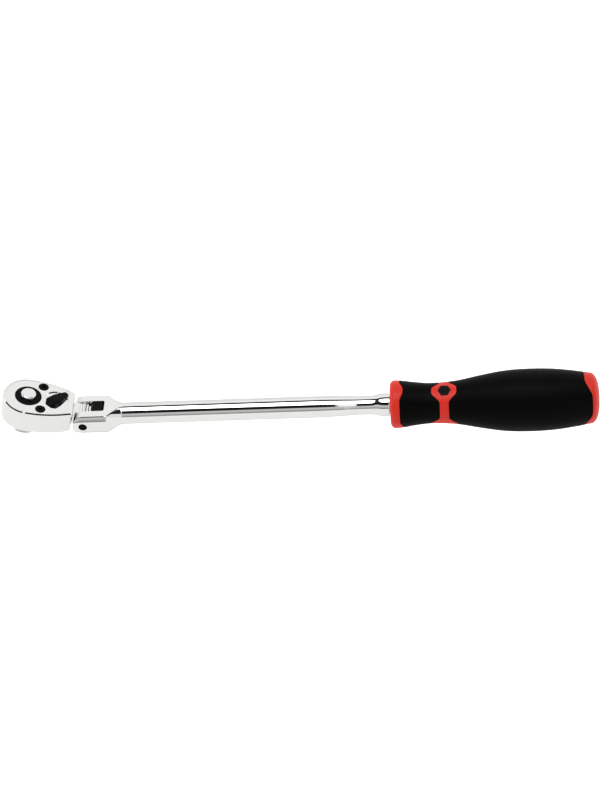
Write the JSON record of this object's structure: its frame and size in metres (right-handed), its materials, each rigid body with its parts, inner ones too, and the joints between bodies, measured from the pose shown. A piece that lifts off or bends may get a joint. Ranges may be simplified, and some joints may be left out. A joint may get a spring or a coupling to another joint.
{
  "type": "ratchet wrench",
  "caption": "Flex-head quick-release ratchet wrench: teardrop head with reversing lever and square drive, long round shaft, two-colour comfort handle.",
  "frame": {"origin": "centre of the square drive's shoulder, on the underside of the head, on the drive's axis", "axes": "+X along the shaft from the head to the handle, +Y along the flex hinge's pin, +Z towards the selector side; as stored the head is flexed 15 degrees up"},
  "size_m": [0.337, 0.0352, 0.0372],
  "materials": {
    "chrome": "polished",
    "bright_button": "polished",
    "steel": "ground",
    "spring_steel": "drawn wire",
    "black_oxide": "satin black oxide",
    "black_plastic": "satin",
    "red_plastic": "satin gloss",
    "black_grip": "soft satin",
    "badge": "satin",
    "seal_rubber": "smooth"
  },
  "bodies": {
    "handle": {"yoke_shaft": "chrome", "hinge_pin": "black_oxide", "flex_lock_spring": "spring_steel", "handle_core": "red_plastic", "grip_front": "black_grip", "grip_rear": "black_grip", "grip_emblem": "badge"},
    "flex_lock": {"flex_lock": "black_oxide"},
    "head": {"head_body": "chrome", "cover_plate": "chrome", "cover_screws": "black_oxide", "drive_seal": "seal_rubber", "selector_seal": "seal_rubber"},
    "drive": {"drive_gear": "steel", "hub_ring": "black_plastic", "button_spring": "spring_steel"},
    "button": {"release_button": "bright_button"},
    "ball": {"detent_ball": "steel"},
    "pawl": {"pawl": "steel"},
    "selector": {"selector_lever": "black_plastic", "selector_plunger": "steel", "selector_spring": "spring_steel"}
  },
  "joints": [
    {"name": "flex_tilt", "type": "hinge", "parent": "handle", "child": "head", "pos_m": [0.03342, 0, -0.00202], "axis": [0, 1, 0], "range_deg": [-105, 75]},
    {"name": "flex_lock_slide", "type": "slide", "parent": "handle", "child": "flex_lock", "axis": [1, 0, 0], "range_m": [0, 0.001], "stiffness_N_per_m": 600, "springref_m": -0.0015, "deforming": ["flex_lock_spring"]},
    {"name": "drive_spin", "type": "hinge", "parent": "head", "child": "drive", "pos_m": [0, 0, 0], "axis": [0.2588, 0, 0.9659], "continuous": true},
    {"name": "button_press", "type": "slide", "parent": "drive", "child": "button", "axis": [-0.2588, 0, -0.9659], "range_m": [0, 0.002], "stiffness_N_per_m": 800, "springref_m": -0.002, "deforming": ["button_spring"]},
    {"name": "ball_retract", "type": "slide", "parent": "drive", "child": "ball", "axis": [0, 1, 0], "range_m": [0, 0.0007]},
    {"name": "selector_swing", "type": "hinge", "parent": "head", "child": "selector", "pos_m": [0.01703, 0, 0.00289], "axis": [0.2588, 0, 0.9659], "range_deg": [-94, 0]},
    {"name": "pawl_rocking", "type": "hinge", "parent": "head", "child": "pawl", "pos_m": [0.01703, 0, 0.00289], "axis": [0.2588, 0, 0.9659], "range_deg": [0, 5.6]}
  ],
  "couplings": [
    {"joint": "ball_retract", "follows": "button_press", "ratio": 0.35},
    {"joint": "pawl_rocking", "follows": "selector_swing", "ratio": -0.059574}
  ]
}
